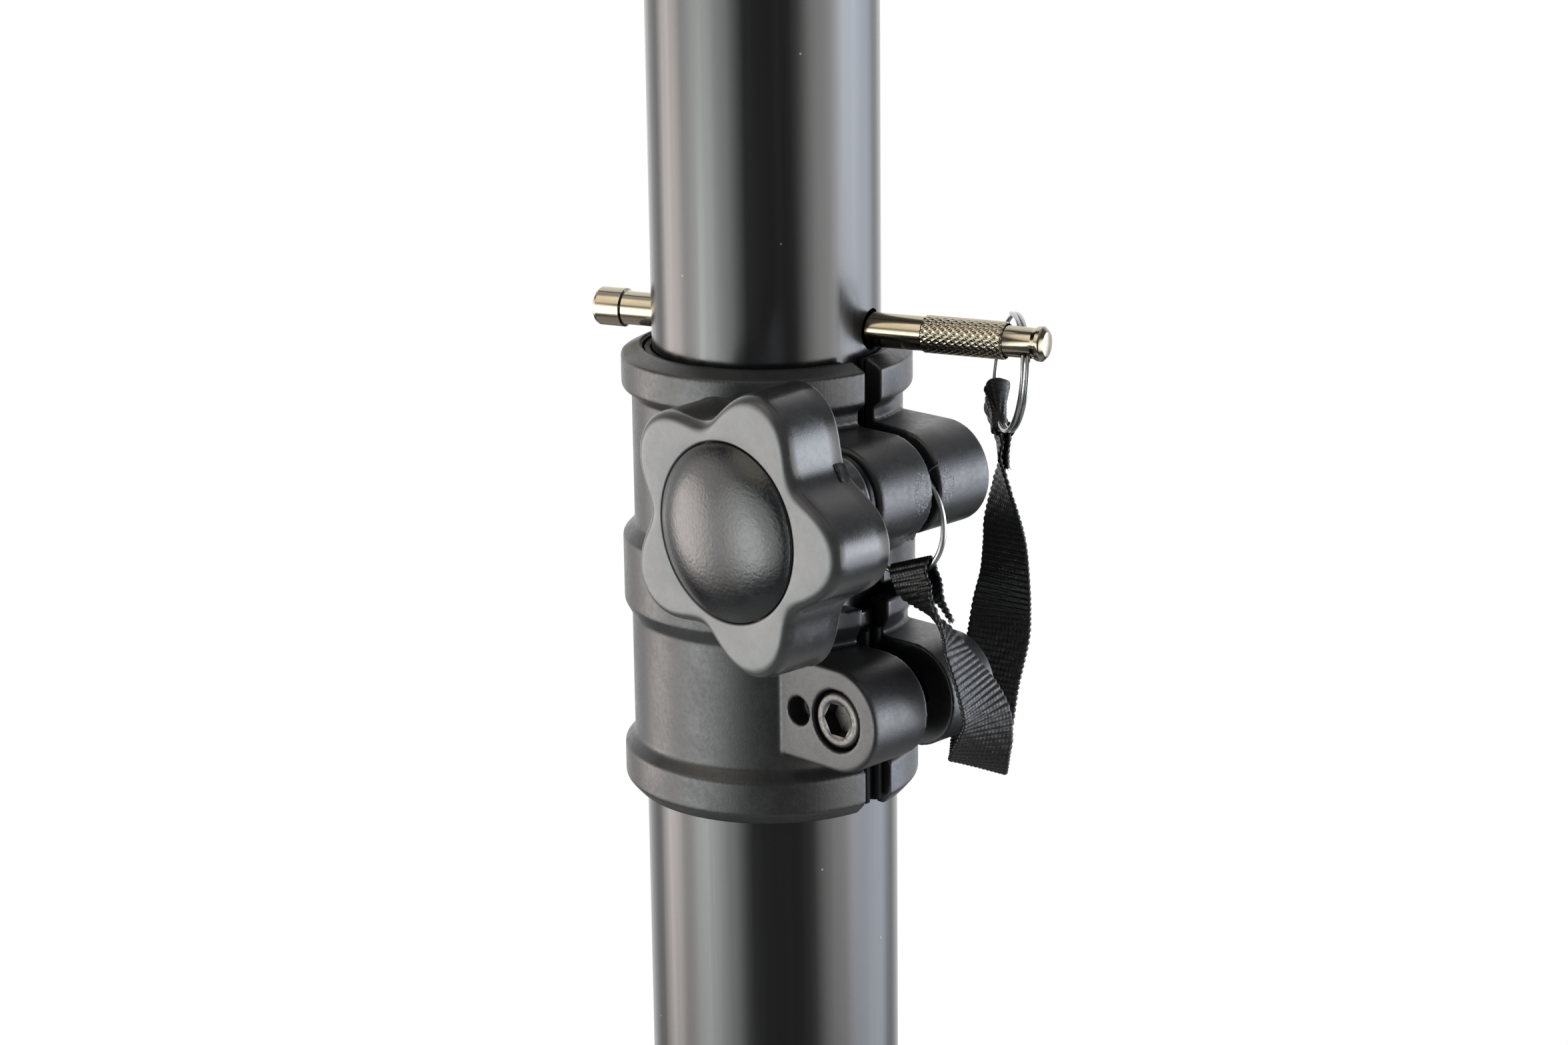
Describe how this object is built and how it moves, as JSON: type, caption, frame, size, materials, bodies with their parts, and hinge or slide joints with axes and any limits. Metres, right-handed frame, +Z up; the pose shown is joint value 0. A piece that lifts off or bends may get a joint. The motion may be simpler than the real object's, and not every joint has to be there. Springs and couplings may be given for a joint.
{
  "type": "lighting stand",
  "caption": "Telescopic lighting stand in black steel: tripod base, pinned and knob-clamped mast collar with a strap-tied locking pin, and a T-bar with lamp bolts.",
  "frame": {"origin": "centre of the base tube's foot plug, on the floor", "axes": "+Z up along the mast; +X towards the clamp's slit and ears; -Y the side that the star knobs face; +Y towards leg 1"},
  "size_m": [1.1286, 0.9791, 1.6577],
  "materials": {
    "coated_steel": "black baked coating, semi-gloss",
    "nylon": "moulded black nylon, matt",
    "liner": "black nylon liner, matt",
    "knob_plastic": "moulded dark grey plastic, satin",
    "cap_plastic": "moulded black plastic, satin to gloss",
    "black_oxide": "black oxide",
    "nickel_plate": "bright nickel plate; the pin's grip is knurled",
    "zinc_plate": "zinc plate",
    "brass": "plain brass",
    "webbing": "ribbed black polyester tape",
    "rubber": "moulded black rubber"
  },
  "bodies": {
    "root": {"base_tube": "coated_steel", "base_plug": "nylon", "collar": "nylon", "mast_bush": "liner", "clamp_key": "liner", "base_clamp_screw": "black_oxide", "base_clamp_nut": "zinc_plate", "clamp_nut": "zinc_plate", "tether_ring": "nickel_plate", "tether_strap": "webbing", "hub": "nylon", "hub_screw": "black_oxide"},
    "mast": {"mast_tube": "coated_steel", "mast_plug": "nylon"},
    "tbar": {"tbar": "coated_steel", "tbar_cap_left": "nylon", "tbar_cap_right": "nylon", "lamp_bolt_1": "zinc_plate", "lamp_bolt_2": "zinc_plate", "lamp_bolt_3": "zinc_plate", "lamp_bolt_4": "zinc_plate", "lamp_nut_1": "zinc_plate", "lamp_nut_2": "zinc_plate", "lamp_nut_3": "zinc_plate", "lamp_nut_4": "zinc_plate"},
    "clamp_washer": {"clamp_knob_washer": "black_oxide"},
    "clamp_knob": {"clamp_knob": "knob_plastic", "clamp_knob_cap": "cap_plastic", "clamp_knob_stud": "black_oxide"},
    "lock_pin": {"lock_pin": "nickel_plate", "pin_ring": "nickel_plate"},
    "leg_collar": {"leg_collar": "nylon", "leg_rivet_1": "zinc_plate", "leg_rivet_2": "zinc_plate", "leg_rivet_3": "zinc_plate", "leg_knob_nut": "brass"},
    "leg_washer": {"leg_knob_washer": "black_oxide"},
    "leg_knob": {"leg_knob": "knob_plastic", "leg_knob_cap": "cap_plastic", "leg_knob_stud": "zinc_plate"},
    "tbar_washer": {"tbar_knob_washer": "black_oxide"},
    "tbar_knob": {"tbar_knob": "knob_plastic", "tbar_knob_cap": "cap_plastic", "tbar_knob_stud": "zinc_plate"},
    "leg_1": {"leg_1": "coated_steel", "foot_1": "rubber"},
    "brace_1": {"brace_1": "coated_steel", "brace_1_rivet_outer": "zinc_plate", "brace_1_rivet_inner": "zinc_plate"},
    "leg_2": {"leg_2": "coated_steel", "foot_2": "rubber"},
    "brace_2": {"brace_2": "coated_steel", "brace_2_rivet_outer": "zinc_plate", "brace_2_rivet_inner": "zinc_plate"},
    "leg_3": {"leg_3": "coated_steel", "foot_3": "rubber"},
    "brace_3": {"brace_3": "coated_steel", "brace_3_rivet_outer": "zinc_plate", "brace_3_rivet_inner": "zinc_plate"}
  },
  "joints": [
    {"name": "mast_slide", "type": "slide", "parent": "root", "child": "mast", "axis": [0, 0, 1], "range_m": [0, 1.2]},
    {"name": "pin_pull", "type": "slide", "parent": "root", "child": "lock_pin", "axis": [0.9438, 0.3305, 0], "range_m": [0, 0.06], "deforming": ["tether_strap"]},
    {"name": "clamp_knob_feed", "type": "slide", "parent": "root", "child": "clamp_washer", "axis": [0, -1, 0], "range_m": [0, 0.002]},
    {"name": "clamp_knob_turn", "type": "hinge", "parent": "clamp_washer", "child": "clamp_knob", "pos_m": [0.0316, -0.0418, 1.3415], "axis": [0, -1, 0], "range_deg": [0, 720]},
    {"name": "leg_collar_slide", "type": "slide", "parent": "root", "child": "leg_collar", "axis": [0, 0, 1], "range_m": [0, 0.1526]},
    {"name": "leg_knob_feed", "type": "slide", "parent": "leg_collar", "child": "leg_washer", "axis": [0, -1, 0], "range_m": [0, 0.0025]},
    {"name": "leg_knob_turn", "type": "hinge", "parent": "leg_washer", "child": "leg_knob", "pos_m": [0, -0.0644, 0.65237], "axis": [0, -1, 0], "range_deg": [0, 720]},
    {"name": "tbar_turn", "type": "hinge", "parent": "mast", "child": "tbar", "pos_m": [0, 0, 1.5755], "axis": [0, 0, 1], "continuous": true},
    {"name": "tbar_knob_feed", "type": "slide", "parent": "tbar", "child": "tbar_washer", "axis": [0, -1, 0], "range_m": [0, 0.0025]},
    {"name": "tbar_knob_turn", "type": "hinge", "parent": "tbar_washer", "child": "tbar_knob", "pos_m": [0, -0.0604, 1.5652], "axis": [0, -1, 0], "range_deg": [0, 720]},
    {"name": "leg_1_fold", "type": "hinge", "parent": "leg_collar", "child": "leg_1", "pos_m": [0, 0.046, 0.65237], "axis": [-1, 0, 0], "range_deg": [0, 38.01]},
    {"name": "brace_1_fold", "type": "hinge", "parent": "leg_1", "child": "brace_1", "pos_m": [0, 0.26764, 0.36868], "axis": [1, 0, 0], "range_deg": [0, 76.02]},
    {"name": "leg_2_fold", "type": "hinge", "parent": "leg_collar", "child": "leg_2", "pos_m": [-0.03984, -0.023, 0.65237], "axis": [0.5, -0.866, 0], "range_deg": [0, 38.01]},
    {"name": "brace_2_fold", "type": "hinge", "parent": "leg_2", "child": "brace_2", "pos_m": [-0.23178, -0.13382, 0.36868], "axis": [-0.5, 0.866, 0], "range_deg": [0, 76.02]},
    {"name": "leg_3_fold", "type": "hinge", "parent": "leg_collar", "child": "leg_3", "pos_m": [0.03984, -0.023, 0.65237], "axis": [0.5, 0.866, 0], "range_deg": [0, 38.01]},
    {"name": "brace_3_fold", "type": "hinge", "parent": "leg_3", "child": "brace_3", "pos_m": [0.23178, -0.13382, 0.36868], "axis": [-0.5, -0.866, 0], "range_deg": [0, 76.02]}
  ],
  "couplings": [
    {"joint": "clamp_knob_feed", "follows": "clamp_knob_turn", "m_per_rad": 0.00015915},
    {"joint": "leg_knob_feed", "follows": "leg_knob_turn", "m_per_rad": 0.00019894},
    {"joint": "tbar_knob_feed", "follows": "tbar_knob_turn", "m_per_rad": 0.00019894},
    {"joint": "leg_1_fold", "follows": "leg_collar_slide", "rad_per_m": 4.346},
    {"joint": "brace_1_fold", "follows": "leg_collar_slide", "rad_per_m": 8.692},
    {"joint": "leg_2_fold", "follows": "leg_collar_slide", "rad_per_m": 4.346},
    {"joint": "brace_2_fold", "follows": "leg_collar_slide", "rad_per_m": 8.692},
    {"joint": "leg_3_fold", "follows": "leg_collar_slide", "rad_per_m": 4.346},
    {"joint": "brace_3_fold", "follows": "leg_collar_slide", "rad_per_m": 8.692}
  ]
}
